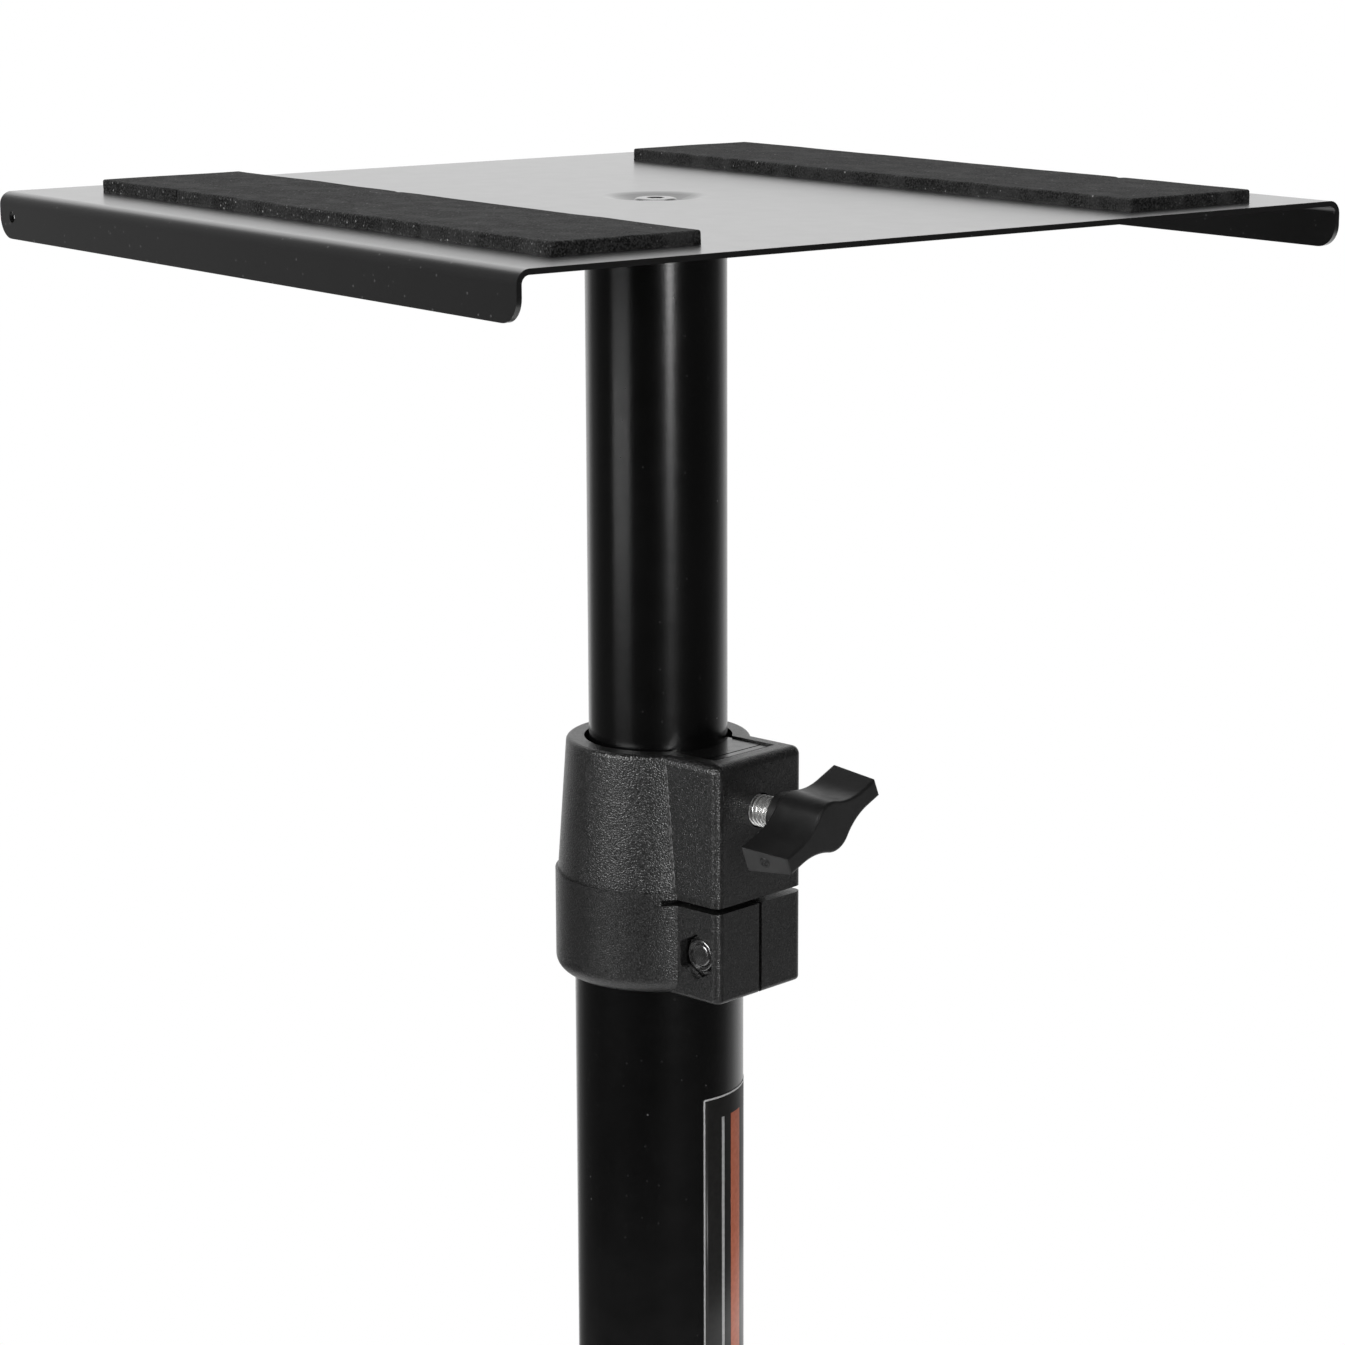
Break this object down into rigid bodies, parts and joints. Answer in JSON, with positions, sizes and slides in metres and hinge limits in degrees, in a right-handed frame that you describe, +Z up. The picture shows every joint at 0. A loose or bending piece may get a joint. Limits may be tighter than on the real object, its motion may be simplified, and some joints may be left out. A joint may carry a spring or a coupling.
{
  "type": "studio monitor stand",
  "caption": "Height-adjustable monitor stand: a steel tray with foam strips on a telescopic mast, held by a wing-knob clamp collar over a folding tripod base.",
  "frame": {"origin": "on the floor, under the mast axis", "axes": "+Z up along the mast, -Y towards the tray's front edge, +X to the right"},
  "size_m": [0.6494, 0.566, 0.9332],
  "materials": {
    "black_coat": "satin black powder coat",
    "collar_moulding": "fine grained black moulding",
    "knob_moulding": "smooth satin black moulding",
    "shoe_nylon": "smooth black nylon",
    "bush_nylon": "smooth black nylon",
    "black_steel": "black oxide",
    "zinc": "bright zinc",
    "brass": "plain brass",
    "foam": "closed-cell foam",
    "foot_rubber": "matt black rubber"
  },
  "bodies": {
    "mast": {"outer_tube": "black_coat", "clamp_collar": "collar_moulding", "collar_bolt": "black_steel", "collar_nut": "black_steel", "collar_insert": "brass", "base_hub": "collar_moulding", "hub_bolts": "zinc", "hub_nuts": "zinc", "hub_screws": "zinc"},
    "guide": {"guide_bush": "bush_nylon"},
    "upper_mast": {"inner_tube": "black_coat", "tray": "black_coat", "tray_plug": "zinc", "tray_screw": "black_steel", "foam_pad_left": "foam", "foam_pad_right": "foam"},
    "shoe": {"clamp_shoe": "shoe_nylon", "thrust_plate": "black_steel"},
    "clamp_wing": {"clamp_stud": "zinc", "clamp_knob": "knob_moulding"},
    "leg_slider": {"leg_collar": "collar_moulding", "leg_insert": "brass", "leg_pivot_bolts": "zinc", "leg_pivot_nuts": "zinc"},
    "lock_pad": {"leg_lock_pad": "shoe_nylon"},
    "lock_wing": {"leg_lock_stud": "zinc", "leg_lock_knob": "knob_moulding"},
    "leg_arm_1": {"leg_1": "black_coat", "leg_plug_1": "knob_moulding", "foot_1": "foot_rubber"},
    "brace_arm_1": {"brace_1": "black_coat", "brace_rivets_1": "zinc"},
    "leg_arm_2": {"leg_2": "black_coat", "leg_plug_2": "knob_moulding", "foot_2": "foot_rubber"},
    "brace_arm_2": {"brace_2": "black_coat", "brace_rivets_2": "zinc"},
    "leg_arm_3": {"leg_3": "black_coat", "leg_plug_3": "knob_moulding", "foot_3": "foot_rubber"},
    "brace_arm_3": {"brace_3": "black_coat", "brace_rivets_3": "zinc"}
  },
  "joints": [
    {"name": "height", "type": "slide", "parent": "mast", "child": "guide", "axis": [0, 0, 1], "range_m": [-0.11, 0.355]},
    {"name": "swivel", "type": "hinge", "parent": "guide", "child": "upper_mast", "pos_m": [0, 0, 0.2787], "axis": [0, 0, 1], "continuous": true},
    {"name": "shoe_slide", "type": "slide", "parent": "mast", "child": "shoe", "axis": [0.1719, -0.9851, 0], "range_m": [0, 0.00125]},
    {"name": "clamp_turn", "type": "hinge", "parent": "shoe", "child": "clamp_wing", "pos_m": [0.00595, -0.03408, 0.7813], "axis": [0.1719, -0.9851, 0], "range_deg": [0, 361]},
    {"name": "leg_fold", "type": "slide", "parent": "mast", "child": "leg_slider", "axis": [0, 0, 1], "range_m": [0, 0.17415]},
    {"name": "lock_pad_slide", "type": "slide", "parent": "leg_slider", "child": "lock_pad", "axis": [0, -1, 0], "range_m": [0, 0.00125]},
    {"name": "lock_turn", "type": "hinge", "parent": "lock_pad", "child": "lock_wing", "pos_m": [0, -0.036, 0.21952], "axis": [0, -1, 0], "range_deg": [0, 361]},
    {"name": "leg_hinge_1", "type": "hinge", "parent": "leg_slider", "child": "leg_arm_1", "pos_m": [0, 0.04603, 0.21952], "axis": [-1, 0, 0], "range_deg": [0, 53.02]},
    {"name": "brace_hinge_1", "type": "hinge", "parent": "mast", "child": "brace_arm_1", "pos_m": [0, 0.0355, 0.14683], "axis": [1, 0, 0], "range_deg": [0, 81.6]},
    {"name": "leg_hinge_2", "type": "hinge", "parent": "leg_slider", "child": "leg_arm_2", "pos_m": [-0.03986, -0.02302, 0.21952], "axis": [0.5, -0.866, 0], "range_deg": [0, 53.02]},
    {"name": "brace_hinge_2", "type": "hinge", "parent": "mast", "child": "brace_arm_2", "pos_m": [-0.03074, -0.01775, 0.14683], "axis": [-0.5, 0.866, 0], "range_deg": [0, 81.6]},
    {"name": "leg_hinge_3", "type": "hinge", "parent": "leg_slider", "child": "leg_arm_3", "pos_m": [0.03986, -0.02302, 0.21952], "axis": [0.5, 0.866, 0], "range_deg": [0, 53.02]},
    {"name": "brace_hinge_3", "type": "hinge", "parent": "mast", "child": "brace_arm_3", "pos_m": [0.03074, -0.01775, 0.14683], "axis": [-0.5, -0.866, 0], "range_deg": [0, 81.6]}
  ],
  "couplings": [
    {"joint": "clamp_turn", "follows": "shoe_slide", "rad_per_m": 5026.5},
    {"joint": "lock_turn", "follows": "lock_pad_slide", "rad_per_m": 5026.5},
    {"joint": "leg_hinge_1", "follows": "leg_fold", "rad_per_m": 5.3115},
    {"joint": "brace_hinge_1", "follows": "leg_fold", "rad_per_m": 8.1753},
    {"joint": "leg_hinge_2", "follows": "leg_fold", "rad_per_m": 5.3115},
    {"joint": "brace_hinge_2", "follows": "leg_fold", "rad_per_m": 8.1753},
    {"joint": "leg_hinge_3", "follows": "leg_fold", "rad_per_m": 5.3115},
    {"joint": "brace_hinge_3", "follows": "leg_fold", "rad_per_m": 8.1753}
  ]
}
